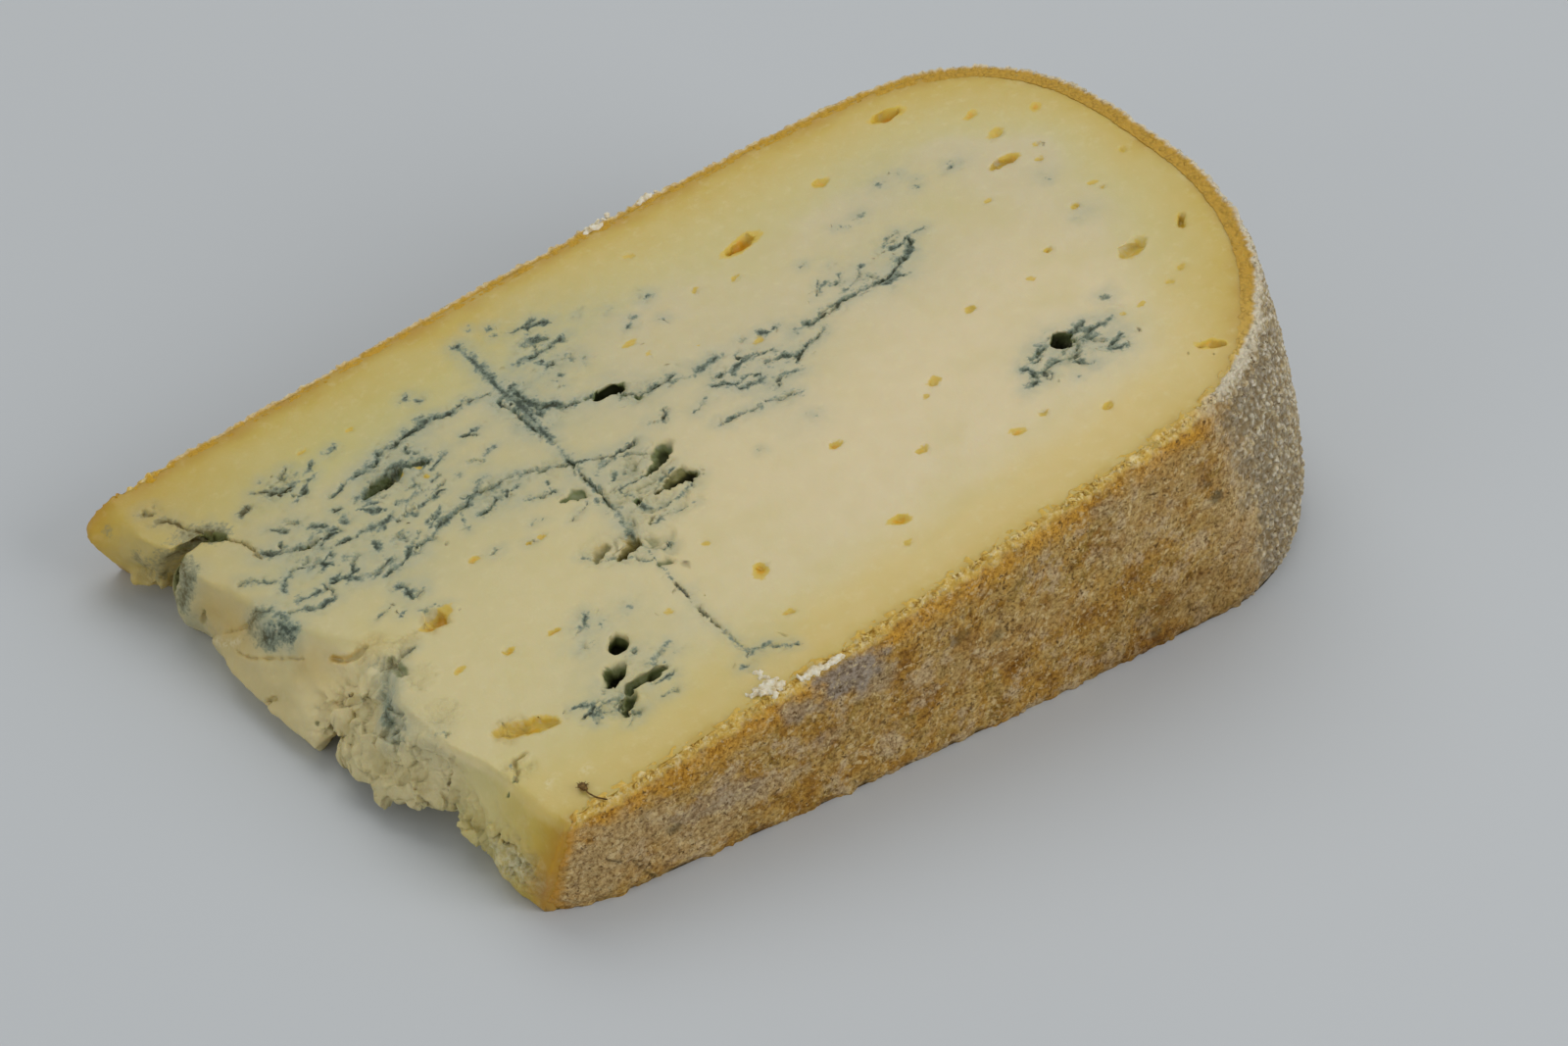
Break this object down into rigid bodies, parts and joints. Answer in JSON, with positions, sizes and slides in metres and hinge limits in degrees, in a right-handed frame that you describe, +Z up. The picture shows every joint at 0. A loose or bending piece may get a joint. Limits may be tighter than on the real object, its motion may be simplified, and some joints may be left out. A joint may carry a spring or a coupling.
{
  "type": "blue cheese wedge",
  "caption": "Thick wedge of blue-veined cheese lying on one cut, with a tilted cut face, a rounded rind-covered heel and a crumbling broken end.",
  "frame": {"origin": "middle of the wedge's box, on the cut face that it lies on", "axes": "+X from the broken thin end to the rounded heel, +Y across the wheel's thickness, +Z up"},
  "size_m": [0.1572, 0.0916, 0.0425],
  "materials": {
    "paste": "moist, slightly waxy ivory paste, butter yellow under the rind, with blue-green mould in its openings",
    "rind": "dry, granular golden-brown rind with a pale bloom",
    "stalk": "dry brown plant stalk"
  },
  "bodies": {
    "root": {"cheese_wedge": "paste"}
  },
  "joints": []
}
